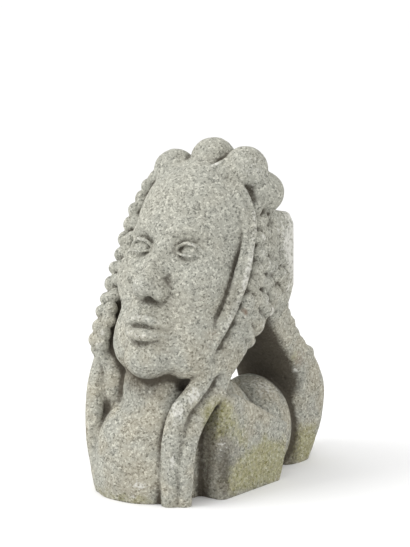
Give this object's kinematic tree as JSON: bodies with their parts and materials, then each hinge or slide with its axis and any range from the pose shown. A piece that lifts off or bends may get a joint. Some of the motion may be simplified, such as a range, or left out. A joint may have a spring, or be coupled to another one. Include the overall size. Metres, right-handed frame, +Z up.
{
  "type": "stone head sculpture",
  "caption": "Carved stone head thrown back on a block of shoulders, with curled hair and a thick fall of hair standing clear behind the neck.",
  "frame": {"origin": "middle of the flat underside, where the block of shoulders stands", "axes": "+Z up, -Y the way the figure faces, +X to the figure's own left"},
  "size_m": [0.1837, 0.3203, 0.385],
  "materials": {
    "stone": "coarse-grained and weathered, with dirt and moss"
  },
  "bodies": {
    "root": {"head_sculpture": "stone"}
  },
  "joints": []
}
